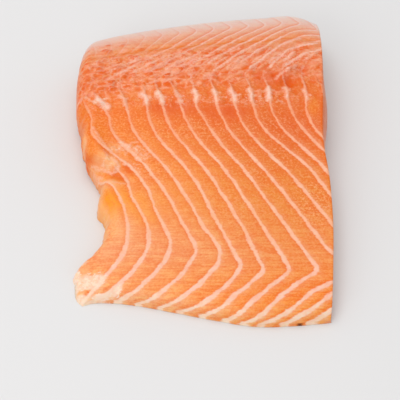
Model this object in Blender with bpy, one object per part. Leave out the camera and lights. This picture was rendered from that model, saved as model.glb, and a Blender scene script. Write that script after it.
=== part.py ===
"""Raw salmon fillet: a skinless middle cut of one side of the fish, lying on its outer side.

The body is one closed solid. X runs along the fish towards the head, Y from the belly edge to the
back edge, and Z is up from the flat underside. The origin is the middle of the outline, on the
underside. All sizes below are in millimetres; the mesh is written in metres.
"""

import math

import bmesh
import bpy
import numpy as np
from mathutils import Vector, geometry

MILLIMETRE = 0.001

# Outline on the board, as (x, y) points that a smooth curve joins. The four sides meet at corners.
BELLY_EDGE = (
    (-63, 12), (-58.5, 13.6), (-48, 14), (-32, 12), (-14, 8), (8, 3), (30, -1), (50, -0.5),
    (69.5, 1.5),
)
BACK_EDGE = (
    (-66, 201), (-56, 205.5), (-40, 211), (-20, 216), (8, 221.5), (36, 225), (58, 226), (69, 219),
)
TAIL_CUT = (
    (-63, 12), (-66.5, 15.5), (-67.3, 20), (-69, 25), (-68.6, 31), (-65.8, 37), (-60.5, 41.5),
    (-56, 48), (-53.8, 56), (-54, 62.5), (-57.3, 68.5), (-59, 74), (-57.3, 80.5), (-56.3, 87),
    (-60, 94), (-64, 103), (-68, 115), (-68.5, 126), (-71.5, 134), (-73.5, 150), (-73.5, 170),
    (-72.5, 184), (-70, 195), (-66, 201),
)
HEAD_CUT = (
    (69.5, 1.5), (71.5, 25), (73.6, 60), (73.3, 88), (71.2, 112), (72.3, 142), (73.2, 165),
    (73.6, 188), (73, 206), (69, 219),
)

# Thickness from the belly edge (share 0) to the back edge (share 1), and how much of it is left
# where the flesh rounds over each edge: the rounding's width, and the share of thickness below it.
THICKNESS = (
    (0.0, 11.0), (0.08, 12.5), (0.19, 14.0), (0.33, 16.5), (0.46, 20.0), (0.59, 26.0), (0.69, 31.0),
    (0.76, 33.0), (0.83, 32.0), (0.89, 28.0), (0.935, 24.0), (0.975, 18.5), (1.0, 15.0),
)
TAIL_THINNING = 0.08
BELLY_ROUND, BELLY_SHOULDER = 12.0, 0.16
BACK_ROUND, BACK_SHOULDER = 14.0, 0.30
TAIL_ROUND, THIN_TAIL_SHOULDER, THICK_TAIL_SHOULDER = 9.0, 0.12, 0.50
TAIL_THIN_TO, TAIL_THICK_FROM = 0.36, 0.52
HEAD_ROUND, HEAD_SHOULDER = 1.5, 0.96

# The knife met the head cut at a slant, so part of that face leans out below the top edge.
SLANT_DEPTH, SLANT_PLACE, SLANT_SPAN = 3.6, 136.0, 26.0
UNDERCUT = 0.4

# The cut along the backbone left flakes between the pin bones and the crease, as shares of the width.
FLAKE_START, FLAKE_END, FLAKE_FADE = 0.60, 0.81, 0.035
FLAKE_PITCH, FLAKE_LEAN, FLAKE_HEIGHT = 10.9, 1.3, 1.4
CREASE_SHARE, CREASE_WIDTH, CREASE_DEPTH = 0.822, 0.010, 1.0

# Local forms: centre x and y, half length, half width, turn in degrees, height (negative is a dent).
LOCAL_FORMS = (
    (-64, 156, 15, 14, 0, 2.2),      # lump above the notch in the tail cut
    (-62, 116, 8, 11, 10, 2.0),      # lump below the notch
    (-72, 129, 7, 2.6, 20, -3.2),    # the notch
    (-59, 101, 9, 6, -20, 2.4),      # torn flap
    (-55, 90, 9, 3.6, -12, -4.6),    # hollow under the flap
    (-43, 90, 6, 7, 0, -2.6),        # hollow beside the flap
    (-65, 21, 12, 14, 0, -5.0),      # thin corner of belly fat at the tail cut
    (50, 156, 7, 2.4, 50, 1.8),      # rolled strip of flesh by the pin bones
    (52, 150, 4, 3, 0, -2.2),        # pit below the strip
    (61, 160, 4, 3, 0, -2.4),        # pit beside the strip
)

COLUMNS, ROWS, WALL_RINGS = 50, 60, 3
UNDERSIDE_PITCH = 11.0

FLESH_COLOUR = (0.80, 0.22, 0.07, 1.0)
FLESH_ROUGHNESS = 0.35


def smooth_points(points, places):
    """Points on the smooth curve through the given points, at places 0 to 1 along its chords.

    Between two given points the curve is a cubic whose slope at each of them is that of the line
    between its neighbours."""
    points = np.array(points, float)
    chords = np.linalg.norm(np.diff(points, axis=0), axis=1)
    knots = np.concatenate(([0.0], np.cumsum(chords))) / chords.sum()
    slopes = np.gradient(points, knots, axis=0)
    cell = np.clip(np.searchsorted(knots, places, side="right") - 1, 0, len(knots) - 2)
    width = (knots[cell + 1] - knots[cell])[:, None]
    t = (places - knots[cell])[:, None] / width
    start, end = points[cell], points[cell + 1]
    leave, arrive = slopes[cell] * width, slopes[cell + 1] * width
    return (
        start * (2 * t**3 - 3 * t**2 + 1)
        + leave * (t**3 - 2 * t**2 + t)
        + end * (3 * t**2 - 2 * t**3)
        + arrive * (t**3 - t**2)
    )


def smooth_step(value, low, high):
    """0 below low, 1 above high, and a smooth S between them."""
    t = np.clip((value - low) / (high - low), 0, 1)
    return t * t * (3 - 2 * t)


def outline_patch(along, across):
    """Plan x and y at shares along the fish (0 tail cut, 1 head cut) and across it (0 belly, 1 back).

    The four edges are blended so that every grid line runs from an edge to the facing edge."""
    belly = smooth_points(BELLY_EDGE, along[:, 0])[:, None]
    back = smooth_points(BACK_EDGE, along[:, 0])[:, None]
    tail = smooth_points(TAIL_CUT, across[0])[None]
    head = smooth_points(HEAD_CUT, across[0])[None]
    a, b = along[..., None], across[..., None]
    corners = (
        (1 - a) * (1 - b) * np.array(BELLY_EDGE[0])
        + a * (1 - b) * np.array(BELLY_EDGE[-1])
        + (1 - a) * b * np.array(BACK_EDGE[0])
        + a * b * np.array(BACK_EDGE[-1])
    )
    return (1 - b) * belly + b * back + (1 - a) * tail + a * head - corners


def rounded(distance, width, shoulder):
    """Share of the thickness near an edge: a quarter round of that width above the shoulder."""
    inward = np.clip(1 - distance / width, 0, 1)
    return shoulder + (1 - shoulder) * np.sqrt(np.clip(1 - inward**2, 0, 1))


def local_forms(x, y):
    """Sum of the local lumps and dents, each a turned bell shape."""
    total = np.zeros_like(x)
    for place_x, place_y, half_long, half_wide, turn, height in LOCAL_FORMS:
        c, s = math.cos(math.radians(turn)), math.sin(math.radians(turn))
        u = ((x - place_x) * c + (y - place_y) * s) / half_long
        w = ((y - place_y) * c - (x - place_x) * s) / half_wide
        total += height * np.exp(-(u**2 + w**2))
    return total


def flakes(x, y, across):
    """Raised flakes in waves that lean towards the head, from the pin bones to the crease."""
    zone = smooth_step(across, FLAKE_START, FLAKE_START + FLAKE_FADE)
    zone = zone * (1 - smooth_step(across, FLAKE_END - FLAKE_FADE, FLAKE_END))
    row = (x - FLAKE_LEAN * y) / FLAKE_PITCH
    return FLAKE_HEIGHT * zone * np.sin(math.pi * row) ** 2


def top_height(x, y, along, across):
    """Height of the flesh above the underside: thickness, edge rounding, flakes and local forms."""
    shares, heights = np.array(THICKNESS).T
    height = np.interp(across, shares, heights) * (1 - TAIL_THINNING * (1 - along))
    height = height + flakes(x, y, across) + local_forms(x, y)
    height -= CREASE_DEPTH * np.exp(-(((across - CREASE_SHARE) / CREASE_WIDTH) ** 2))
    thick_side = smooth_step(across, TAIL_THIN_TO, TAIL_THICK_FROM)
    tail_shoulder = THIN_TAIL_SHOULDER + (THICK_TAIL_SHOULDER - THIN_TAIL_SHOULDER) * thick_side
    long_side = x[-1:] - x[:1]
    wide_side = y[:, -1:] - y[:, :1]
    for distance, width, shoulder in (
        (along * long_side, TAIL_ROUND, tail_shoulder),
        ((1 - along) * long_side, HEAD_ROUND, HEAD_SHOULDER),
        (across * wide_side, BELLY_ROUND, BELLY_SHOULDER),
        ((1 - across) * wide_side, BACK_ROUND, BACK_SHOULDER),
    ):
        height = height * rounded(distance, width, shoulder)
    return height


def edge_spacing(count):
    """Shares 0 to 1 that lie closer together near both ends, for the rounded edges."""
    even = np.linspace(0, 1, count)
    return 0.55 * even + 0.45 * (1 - np.cos(math.pi * even)) / 2


def rim_order(columns, rows):
    """Grid numbers of the rim's points, once round, seen from above against the clock."""
    grid = np.arange(columns * rows).reshape(columns, rows)
    return np.concatenate((grid[:-1, 0], grid[-1, :-1], grid[:0:-1, -1], grid[0, :0:-1]))


def rim_outward(rim):
    """Unit plan direction that points out of the outline at each point of the rim."""
    step = np.roll(rim[:, :2], -1, axis=0) - np.roll(rim[:, :2], 1, axis=0)
    return np.stack((step[:, 1], -step[:, 0]), axis=1) / np.linalg.norm(step, axis=1)[:, None]


def wall_ring(rim, outward, level):
    """The rim at a share of its height: it tucks in towards the board and leans out at the slant."""
    ring = rim.copy()
    tuck = -UNDERCUT * (1 - level) ** 2
    head_side = smooth_step(outward[:, 0], 0.8, 0.95)
    slant = SLANT_DEPTH * head_side * np.exp(-(((rim[:, 1] - SLANT_PLACE) / SLANT_SPAN) ** 2))
    ring[:, :2] += outward * (tuck + slant * math.sin(math.pi * level))[:, None]
    ring[:, 2] *= level
    return ring


def underside(rim_points, first):
    """Flat triangles over the outline with a few inner points, as new points and faces."""
    flat = rim_points[:, :2]
    low, high = flat.min(0), flat.max(0)
    xs = np.arange(low[0] + UNDERSIDE_PITCH, high[0], UNDERSIDE_PITCH)
    ys = np.arange(low[1] + UNDERSIDE_PITCH, high[1], UNDERSIDE_PITCH)
    inner = np.stack(np.meshgrid(xs, ys), axis=-1).reshape(-1, 2)
    gaps = np.linalg.norm(inner[:, None] - flat[None], axis=2).min(1)
    inner = inner[gaps > UNDERSIDE_PITCH / 2]
    seeds = [Vector(p) for p in np.concatenate((flat, inner))]
    count = len(flat)
    loop = [list(range(count))]
    points, _, faces, sources, _, _ = geometry.delaunay_2d_cdt(seeds, [], loop, 1, 1e-6)
    used = sorted({corner for face in faces for corner in face})
    number, added = {}, []
    for corner in used:
        seed = sources[corner][0]
        if seed < count:
            number[corner] = first - count + seed
        else:
            number[corner] = first + len(added)
            added.append((points[corner][0], points[corner][1], 0.0))
    return added, [[number[corner] for corner in reversed(face)] for face in faces]


def fillet_mesh():
    """The closed body: a grid over the top, rings down the edges and a flat underside."""
    along, across = np.meshgrid(edge_spacing(COLUMNS), edge_spacing(ROWS), indexing="ij")
    plan = outline_patch(along, across)
    x, y = plan[..., 0], plan[..., 1]
    top = np.stack((x, y, top_height(x, y, along, across)), axis=-1).reshape(-1, 3)

    grid = np.arange(COLUMNS * ROWS).reshape(COLUMNS, ROWS)
    near, right = grid[:-1, :-1].ravel(), grid[1:, :-1].ravel()
    far, left = grid[1:, 1:].ravel(), grid[:-1, 1:].ravel()
    faces = np.stack((near, right, far, left), axis=1).tolist()

    upper = rim_order(COLUMNS, ROWS)
    rim = top[upper]
    outward = rim_outward(rim)
    points = [top]
    count, total = len(upper), len(top)
    for ring in range(1, WALL_RINGS + 1):
        points.append(wall_ring(rim, outward, 1 - ring / WALL_RINGS))
        lower = np.arange(total, total + count)
        faces += np.stack((upper, lower, np.roll(lower, -1), np.roll(upper, -1)), axis=1).tolist()
        upper, total = lower, total + count
    added, base = underside(points[-1], total)
    points.append(np.array(added).reshape(-1, 3))
    return np.concatenate(points), faces + base


def flesh_material():
    """Raw salmon flesh: moist orange."""
    material = bpy.data.materials.new("salmon_flesh")
    material.use_nodes = True
    shader = material.node_tree.nodes["Principled BSDF"]
    shader.inputs["Base Color"].default_value = FLESH_COLOUR
    shader.inputs["Roughness"].default_value = FLESH_ROUGHNESS
    shader.inputs["Metallic"].default_value = 0.0
    return material


def make_fillet():
    """Puts the fillet's mesh into the scene, centred over the origin on its underside."""
    points, faces = fillet_mesh()
    middle = (points.max(0) + points.min(0)) / 2
    points[:, :2] -= middle[:2]
    mesh = bpy.data.meshes.new("fillet")
    mesh.from_pydata((points * MILLIMETRE).tolist(), [], faces)
    mesh.validate()
    body = bmesh.new()
    body.from_mesh(mesh)
    bmesh.ops.triangulate(body, faces=body.faces, quad_method="BEAUTY")
    body.to_mesh(mesh)
    body.free()
    mesh.shade_smooth()
    fillet = bpy.data.objects.new("fillet", mesh)
    fillet.data.materials.append(flesh_material())
    bpy.context.scene.collection.objects.link(fillet)


for old in list(bpy.data.objects):
    bpy.data.objects.remove(old, do_unlink=True)
make_fillet()
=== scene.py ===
"""Looks of the raw salmon fillet: a fine mesh of the flesh with its fat lines, on a pale floor.

Sizes are in millimetres in the outline's own plan, with X along the fish towards the head, Y from
the belly edge to the back edge and Z up; the finished mesh is in metres, centred as the frame is.
"""

import math

import bpy
import numpy as np
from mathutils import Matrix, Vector, geometry


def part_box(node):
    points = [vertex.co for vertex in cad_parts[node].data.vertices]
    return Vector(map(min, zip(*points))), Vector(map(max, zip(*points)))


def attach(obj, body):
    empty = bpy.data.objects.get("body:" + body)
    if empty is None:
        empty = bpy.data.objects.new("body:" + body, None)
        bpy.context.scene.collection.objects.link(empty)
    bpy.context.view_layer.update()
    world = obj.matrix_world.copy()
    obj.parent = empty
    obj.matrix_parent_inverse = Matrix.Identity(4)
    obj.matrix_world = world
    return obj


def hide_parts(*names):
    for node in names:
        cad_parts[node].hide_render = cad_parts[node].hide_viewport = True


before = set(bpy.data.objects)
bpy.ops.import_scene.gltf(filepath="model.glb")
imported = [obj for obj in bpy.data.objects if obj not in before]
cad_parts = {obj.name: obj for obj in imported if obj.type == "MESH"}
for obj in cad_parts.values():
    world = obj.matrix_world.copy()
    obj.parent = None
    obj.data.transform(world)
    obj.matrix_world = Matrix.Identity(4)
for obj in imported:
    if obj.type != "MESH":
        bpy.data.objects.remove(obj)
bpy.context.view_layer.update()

MILLIMETRE = 0.001

# Outline on the board, as (x, y) points that a smooth curve joins. The four sides meet at corners.
BELLY_EDGE = (
    (-63, 12), (-58.5, 13.6), (-48, 14), (-32, 12), (-14, 8), (8, 3), (30, -1), (50, -0.5),
    (69.5, 1.5),
)
BACK_EDGE = (
    (-66, 201), (-56, 205.5), (-40, 211), (-20, 216), (8, 221.5), (36, 225), (58, 226), (69, 219),
)
TAIL_CUT = (
    (-63, 12), (-65.8, 15.5), (-66.5, 20), (-68, 25), (-67.8, 31), (-63.5, 36), (-59.5, 39.5),
    (-55.8, 44), (-54, 49.5), (-53.3, 56), (-52.8, 62), (-54, 67.5), (-57.4, 73), (-57.2, 78),
    (-56, 82.5), (-57, 88), (-60, 94), (-65, 103), (-69, 115), (-69.5, 126), (-72.5, 134),
    (-73.7, 150), (-73.5, 170), (-72.5, 184), (-70, 195), (-66, 201),
)
HEAD_CUT = (
    (69.5, 1.5), (71.5, 25), (73.6, 60), (73.3, 88), (71.2, 112), (72.3, 142), (73.2, 165),
    (73.6, 188), (73, 206), (69, 219),
)

# Thickness from the belly edge (share 0) to the back edge (share 1), and how the edges round over.
THICKNESS = (
    (0, 11), (0.08, 12.5), (0.19, 14), (0.33, 16.5), (0.46, 20), (0.59, 26), (0.69, 31),
    (0.76, 33), (0.83, 32), (0.89, 28), (0.935, 24), (0.975, 18.5), (1, 15),
)
TAIL_THINNING = 0.08
BELLY_ROUND, BELLY_SHOULDER = 12, 0.16
BACK_ROUND, BACK_SHOULDER = 14, 0.30
TAIL_ROUND, THIN_TAIL_SHOULDER, THICK_TAIL_SHOULDER = 9, 0.12, 0.50
TAIL_THIN_TO, TAIL_THICK_FROM = 0.36, 0.52
HEAD_ROUND, HEAD_SHOULDER = 1.5, 0.96
SLANT_DEPTH, SLANT_PLACE, SLANT_SPAN = 3.6, 136, 26
UNDERCUT = 0.4

# On the belly flap the thin edge spreads on the board; the thicker side tucks in.
THIN_EDGE_FROM, THIN_EDGE_TO, EDGE_SPREAD = 70, 100, 0.6

# The torn flap's lip: its plan y at each x, its height, and how far back the raised flesh reaches.
FLAP_LIP = ((-66, 106), (-60, 101), (-55, 98.5), (-51, 95), (-48.5, 93.5), (-46, 97))
FLAP_HEIGHT, FLAP_REACH, FLAP_END = 1.1, 8, -47

# The crease below the back, as shares across: its middle, its width and how far its painted shade is shifted.
CREASE_SHARE, CREASE_WIDTH, CREASE_SHIFT = 0.822, 0.010, 0.006

# Local forms: centre x and y, half length, half width, turn in degrees, height (negative is a dent).
LOCAL_FORMS = (
    (-64, 156, 15, 14, 0, 2.2),  # lump above the notch in the tail cut
    (-62, 116, 8, 11, 10, 2),  # lump below the notch
    (-72, 129, 7, 2.6, 20, -3.2),  # the notch
    (-59, 104, 9, 6, -20, 1.8),  # torn flap
    (-54, 93, 10, 4, -18, -3.4),  # hollow under the flap
    (-43, 90, 6, 6, 0, -1.6),  # hollow beside the flap
    (-65, 21, 12, 14, 0, -5),  # thin corner of belly fat at the tail cut
    (50, 156, 7, 2.4, 50, 1.8),  # rolled strip of flesh by the pin bones
    (52, 150, 4, 3, 0, -2.2),  # pit below the strip
    (61, 160, 4, 3, 0, -2.4),  # pit beside the strip
)

# Fat lines between the muscle blocks, counted from the tail. At each station, by its girth (the
# distance over the flesh from the belly edge): the x of the middle line, the pitch there, and how
# the pitch grows from line to line. The elbow's girth falls from the tail towards the head.
FIRST_LINE, MIDDLE_LINE, LAST_LINE = -4, 7, 17
LINE_STATIONS = {
    "foot": (0, 13, 11.5, 0),
    "belly": (18, 34.5, 12.7, 0.1),
    "elbow": (None, 49.5, 13.8, 0.15),
    "flank": (62, 33.5, 12, 0.2),
    "middle": (96, 14, 11, 0.15),
    "upper": (125, -5.5, 10.7, -0.1),
    "below_bones": (139, -11, 10.4, 0),
    "pin_bones": (147.5, -13, 10.7, 0),
    "backbone": (158.5, -17, 10.7, 0),
    "crease": (184, 18, 9.3, 0.1),
    "back_tip": (201, 42, 10.6, 0),
    "back_edge": (232, 22, 10.6, 0),
}
ELBOW_LOW, ELBOW_RISE, ELBOW_FADE = 26.5, 28.5, 3.6

# Blocks longer or shorter than their neighbours: line, girth, span and how far its x is moved.
UNEVEN_BLOCKS = (
    (3, 151, 14, -3), (5, 151, 14, 2.5), (7, 153, 10, -1), (8, 139, 6, -1.5), (13, 125, 12, 1.5),
    (1, 96, 18, 2.5), (3, 96, 18, -1.5), (4, 96, 18, -1), (11, 96, 16, 1), (12, 96, 16, -1.5),
    (1, 78, 12, -2.5), (2, 62, 12, -1.5), (5, 62, 12, -1.5), (3, 44, 10, 1), (4, 42, 10, 1.5),
    (6, 38, 8, -1), (8, 29, 4, 1), (9, 30, 7, 12), (3, 18, 12, 1.5), (4, 18, 12, 1.5),
    (5, 18, 12, 2.5), (7, 18, 10, -1), (8, 18, 10, -1.5), (9, 18, 10, 1), (10, 18, 10, 1.5),
    (1, 0, 6, -2), (7, 0, 6, 1), (8, 0, 6, -1.5), (9, 0, 6, -4), (10, 0, 6, -4),
    (12, 0, 8, -1.5),
)
CORNERS = ("foot", "elbow", "backbone", "back_tip", "back_edge")
FIRST_SHARP_ELBOW = 5
ELBOW_ROUNDING = (-2.6, -1.3, 0, 1.3, 2.6)
GIRTH_SCALE, EDGE_GIRTH = 220, 4.5

# Half width of a fat line against girth.
LINE_HALF_WIDTHS = (
    (0, 1.15), (33, 1.15), (62, 0.95), (96, 0.88), (125, 0.72), (158, 0.45), (184, 0.55), (232, 0.3),
)
BONE_KNOT_GIRTH, BONE_KNOT_SPAN, BONE_KNOT_WIDTH = 144, 5, 0.25

# How plainly the lines show, against the share across.
LINE_STRENGTHS = (
    (0, 1), (0.61, 1), (0.65, 0.5), (0.69, 0.2), (0.8, 0.25), (0.84, 0.95), (0.9, 0.85),
    (1, 0.3),
)

# Flakes of torn flesh by the backbone: length, width and turn of one.
CELL_LONG, CELL_WIDE, CELL_TURN = 7.2, 5.4, math.radians(20)

# Zones by their shares across: where each one rises and where it falls away.
ZONES = {
    "ragged_cut": ((0, 0.05), (0.6, 0.75)),
    "torn": ((0.645, 0.685), (0.775, 0.822)),
    "ridged": ((0.655, 0.70), (0.78, 0.815)),
}
# Low relief in mm; negative is a dent.
RELIEF = {
    "block_ridges": 0.3, "torn_lumps": 0.6, "flake_hearts": 1, "flake_seams": -0.4, "strands": 0.5,
    "bone_knots": 0.7, "fat_lines": 0.14, "swells": 0.10, "fibres": 0.05, "belly_fat": 0.9,
    "frayed": 0.55, "crease": -1,
}
# Grains: how long a lump is in x and y, in mm, and the seed of its random heights. The torn lumps'
# first length is in muscle blocks.
GRAINS = {
    "wander": (9, 6, 11), "small_wander": (4, 2.5, 12), "cut": (5, 1, 61), "small_cut": (2, 1, 62),
    "torn_lumps": (0.28, 3.2, 21), "small_torn_lumps": (0.12, 1.3, 22), "swells": (7, 5, 23),
    "fibres": (6, 1.1, 24), "belly_fat": (3.2, 2.6, 25), "frayed": (2.2, 1.6, 26),
    "tail_wall": (3.5, 2.4, 31), "flakes": (9, 7, 42),
}
LATTICE, FLAKE_SEED, STRAND_SEED = 64, 41, 51

# The mesh: grid lines, rings down its edges, and how much of the grid's spacing is even. Blocks are
# taken as no longer and no shorter than this, in mm, where the lines' distance is worked out.
COLUMNS, ROWS, WALL_RINGS, EVEN_SHARE = 250, 340, 6, 0.55
UNDERSIDE_PITCH, CORNER_REACH = 3.2, 9
LONGEST_BLOCK, SHORTEST_BLOCK, UNDERSIDE_BLOCK = 25, 3, 11


def smooth_points(points, places):
    """Points on the smooth curve through the given points, at places 0 to 1 along its chords.

    Between two given points the curve is a cubic whose slope at each of them is that of the line
    between its neighbours."""
    points = np.array(points, float)
    chords = np.linalg.norm(np.diff(points, axis=0), axis=1)
    knots = np.concatenate(([0.0], np.cumsum(chords))) / chords.sum()
    return cubic(knots, points, places)


def cubic(knots, values, places):
    """The piecewise cubic through values at the knots, read at places."""
    slopes = np.gradient(values, knots, axis=0)
    cell = np.clip(np.searchsorted(knots, places, side="right") - 1, 0, len(knots) - 2)
    shape = np.shape(places) + (1,) * (values.ndim - 1)
    width = (knots[cell + 1] - knots[cell]).reshape(shape)
    t = (places - knots[cell]).reshape(shape) / width
    start, end = values[cell], values[cell + 1]
    leave, arrive = slopes[cell] * width, slopes[cell + 1] * width
    early, late = start * (1 + 2 * t) + leave * t, end * (3 - 2 * t) - arrive * (1 - t)
    return early * (1 - t) ** 2 + late * t**2


def smooth_step(value, low, high):
    """0 below low, 1 above high, and a smooth S between them."""
    t = np.clip((value - low) / (high - low), 0, 1)
    return t * t * (3 - 2 * t)


def fade(value, low, high):
    """1 below low, 0 above high, and a smooth S between them."""
    return 1 - smooth_step(value, low, high)


def zone(across, name):
    """1 inside one of the named zones, and a smooth S at both ends."""
    rise, fall = ZONES[name]
    return smooth_step(across, *rise) * fade(across, *fall)


def bell(value, centre, span):
    """1 at the centre, falling off as a bell of that span."""
    return np.exp(-(((value - centre) / span) ** 2))


def ellipse(x, y, centre_x, centre_y, half_long, half_wide, turn):
    """Squared distance from the middle of an ellipse turned by these degrees: 1 on its rim."""
    c, s = math.cos(math.radians(turn)), math.sin(math.radians(turn))
    u = ((x - centre_x) * c + (y - centre_y) * s) / half_long
    w = ((y - centre_y) * c - (x - centre_x) * s) / half_wide
    return u**2 + w**2


def grain(x, y, name):
    """One of the named grains, between -1 and 1: random heights on a lattice, joined smoothly."""
    size_x, size_y, seed = GRAINS[name]
    heights = np.random.default_rng(seed).uniform(-1, 1, (LATTICE, LATTICE))
    u, v = x / size_x, y / size_y
    i, j = np.floor(u).astype(int), np.floor(v).astype(int)
    fu, fv = smooth_step(u - i, 0, 1), smooth_step(v - j, 0, 1)
    a, b, c, d = (heights[(i + m) % LATTICE, (j + n) % LATTICE] for n in (0, 1) for m in (0, 1))
    return (a * (1 - fu) + b * fu) * (1 - fv) + (c * (1 - fu) + d * fu) * fv


def torn_edge(across):
    """Small raggedness of the torn tail cut, as a shift along the fish; none at its two ends."""
    y = across * GIRTH_SCALE
    ragged = 0.8 * grain(y, 0 * y, "cut") + 0.4 * grain(y, 0 * y, "small_cut")
    return np.stack((ragged * zone(across, "ragged_cut"), 0 * y), axis=-1)[None]


def outline_patch(along, across):
    """Plan x and y at shares along the fish (0 tail cut, 1 head cut) and across it (0 belly, 1 back).

    The four edges are blended so that every grid line runs from an edge to the facing edge."""
    belly = smooth_points(BELLY_EDGE, along[:, 0])[:, None]
    back = smooth_points(BACK_EDGE, along[:, 0])[:, None]
    tail = smooth_points(TAIL_CUT, across[0])[None] + torn_edge(across[0])
    head = smooth_points(HEAD_CUT, across[0])[None]
    a, b = along[..., None], across[..., None]
    at_tail, at_head = (1 - b) * belly[:1] + b * back[:1], (1 - b) * belly[-1:] + b * back[-1:]
    corners = (1 - a) * at_tail + a * at_head
    return (1 - b) * belly + b * back + (1 - a) * tail + a * head - corners


def rounded(distance, width, shoulder):
    """Share of the thickness near an edge: a quarter round of that width above the shoulder."""
    inward = np.clip(1 - distance / width, 0, 1)
    return shoulder + (1 - shoulder) * np.sqrt(np.clip(1 - inward**2, 0, 1))


def local_forms(x, y):
    """Sum of the local lumps and dents, each a turned bell."""
    return sum(height * np.exp(-ellipse(x, y, *place)) for *place, height in LOCAL_FORMS)


def flap_gap(x, y):
    """How far behind the torn flap's lip each place lies, in mm, and 1 along the flap's own length."""
    lip_x, lip_y = np.array(FLAP_LIP, float).T
    along_flap = fade(x, FLAP_END - 2, FLAP_END + 2)
    return y - np.interp(x, lip_x, lip_y), along_flap


def girth_of(across):
    """Distance over the flesh from the belly edge, at a share of the way to the back edge.

    Over the rounded belly edge it is an arc, and past it the plan distance plus the arc's excess."""
    distance = across * GIRTH_SCALE
    turn = np.arccos(np.clip(1 - distance / BELLY_ROUND, -1, 1))
    arc = turn * (BELLY_ROUND + EDGE_GIRTH) / (math.pi / 2)
    return np.where(distance < BELLY_ROUND, arc, distance + EDGE_GIRTH)


def line_positions(girth):
    """The x of every fat line at each girth, as an array with a column for each line.

    Each line is a smooth curve through its stations, broken at its corners: the elbow on the belly
    flap, the turn along the backbone and the tip in the back."""
    names, lines = list(LINE_STATIONS), range(FIRST_LINE, LAST_LINE + 1)
    result = np.empty((len(girth), len(lines)))
    for number, line in enumerate(lines):
        step = line - MIDDLE_LINE
        elbow = ELBOW_LOW + ELBOW_RISE * math.exp(-max(line, 0) / ELBOW_FADE)
        knots, places = np.array([
            (elbow if level is None else level, x + pitch * step + growth * step**2)
            for level, x, pitch, growth in LINE_STATIONS.values()
        ]).T
        corners = [names.index(c) for c in CORNERS if c != "elbow" or line >= FIRST_SHARP_ELBOW]
        for start, end in zip(corners[:-1], corners[1:]):
            inside = (girth >= knots[start]) | (start == 0)
            inside &= (girth <= knots[end]) | (end == corners[-1])
            run = slice(start, end + 1)
            result[inside, number] = cubic(knots[run], places[run], girth[inside])
    for line, centre, span, shift in UNEVEN_BLOCKS:
        result[:, line - FIRST_LINE] += shift * bell(girth, centre, span)
    return result


def muscle_blocks(x, y, across):
    """Count of fat lines passed at each place, whole on a line and fractional between two lines."""
    wander = 0.4 * grain(x, y, "wander") + 0.15 * grain(x, y, "small_wander")
    girth = girth_of(across.ravel())
    lines = np.mean([line_positions(girth + offset) for offset in ELBOW_ROUNDING], axis=0)
    lines = np.sort(lines, axis=1)
    place = (x + wander).ravel()[:, None]
    passed = np.clip((lines <= place).sum(1) - 1, 0, lines.shape[1] - 2)
    rows = np.arange(len(passed))
    low, high = lines[rows, passed], lines[rows, passed + 1]
    share = (place[:, 0] - low) / np.maximum(high - low, 0.5)
    return (FIRST_LINE + passed + share).reshape(x.shape)


# Patches, as centre x and y, half length, half width, turn in degrees and strength. The pale ones are
# the torn flap, a patch below the notch, and thin places by the tail cut.
PATCHES = {
    "belly_fat": (
        (-67, 25, 2.4, 8, 0, 1.5), (-55.8, 23, 6, 4.4, 0, 1.4), (-60, 20.4, 6, 1.9, 0, 1.4),
        (-62.6, 25.5, 3, 3.5, 0, 0.8), (-64, 14.6, 3.6, 2.4, 0, 1.6), (-43.8, 17, 3.6, 2.2, 40, 1.2),
        (-53, 14.9, 6.5, 1.1, 0, 1.3), (-62.5, 34, 3.2, 1.3, 0, 0.8),
    ),
    "frayed": (
        (-58, 136, 6, 5, 0, 0.7), (-51, 97, 5, 4, 0, 0.8), (-46.5, 107.5, 5.5, 3.2, 0, 1.1),
        (-36, 106, 8, 6, -30, 0.6), (-35, 97, 4, 6, 30, 0.5), (-48, 149, 4, 3, 0, 0.5),
        (-5, 139, 46, 4.5, 0, 0.4), (38, 139, 20, 4.5, 0, 0.4),
    ),
    "pale": (
        (-54, 98.5, 8.5, 4.6, 0, 0.75), (-49.5, 97, 4.5, 3.8, 0, 0.5), (-66.5, 112.5, 1.8, 4.5, 0, 0.9),
        (-46.5, 107.5, 6, 3, 0, 0.6), (-49, 62, 5, 7, 0, 0.45), (-42, 52, 7, 8, 0, 0.4),
        (-62.5, 29, 3, 3.5, 0, 0.6), (-52, 41, 5, 6, 0, 0.3), (-52, 85, 6.5, 3.5, -20, 0.75),
    ),
    "golden": (
        (-51, 69, 7, 9, 0, 1), (-45, 76, 6, 6, 0, 0.7), (-37, 70, 8, 7, 0, 0.6), (-29, 61, 7, 6, 0, 0.5),
        (-52, 87, 8, 4, 0, 0.25), (66, 134, 3.5, 6, 0, 0.35),
    ),
    "froth": (
        (64, 70, 11, 17, 0, 1), (-28, 92, 11, 9, 0, 0.6), (20, 60, 18, 14, 0, 0.3),
        (40, 95, 16, 14, 0, 0.4), (0, 122, 60, 9, 0, 0.5), (52, 118, 16, 14, 0, 0.4),
        (-44, 70, 14, 13, 0, 0.6),
    ),
    # Redder flesh; the last three, by the torn flap, are painted shade in and under it.
    "red": (
        (-15, 134, 16, 7, 0, 0.8), (16, 131, 14, 7, 0, 0.8), (45, 152, 14, 8, 0, 0.7),
        (-60, 150, 16, 12, 0, 0.25), (56, 120, 14, 14, 0, 0.35), (-40.5, 94.5, 3, 5, 40, 0.75),
        (-52.8, 101.8, 1.4, 3.8, 25, 0.8), (-47.5, 89.5, 4.5, 2.6, -25, 0.5),
    ),
    # Painted shade: deeper orange laid into the two dents by the rolled strip and the hollow beside the flap.
    "pit": (
        (52, 150, 3.5, 2.5, 0, 1), (61, 160, 4, 3, 0, 0.8), (-44, 89, 3.5, 2, -20, 0.6),
    ),
    "spot": ((53, -0.5, 1.5, 2, 0, 0.9),),
}


def patches(x, y, name):
    """Sum of one kind's patches, each a turned bell with a flat top, from 0 to 1."""
    places = PATCHES[name]
    total = sum(strength * np.exp(-(ellipse(x, y, *place) ** 1.5)) for *place, strength in places)
    return np.clip(total, 0, 1)


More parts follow.
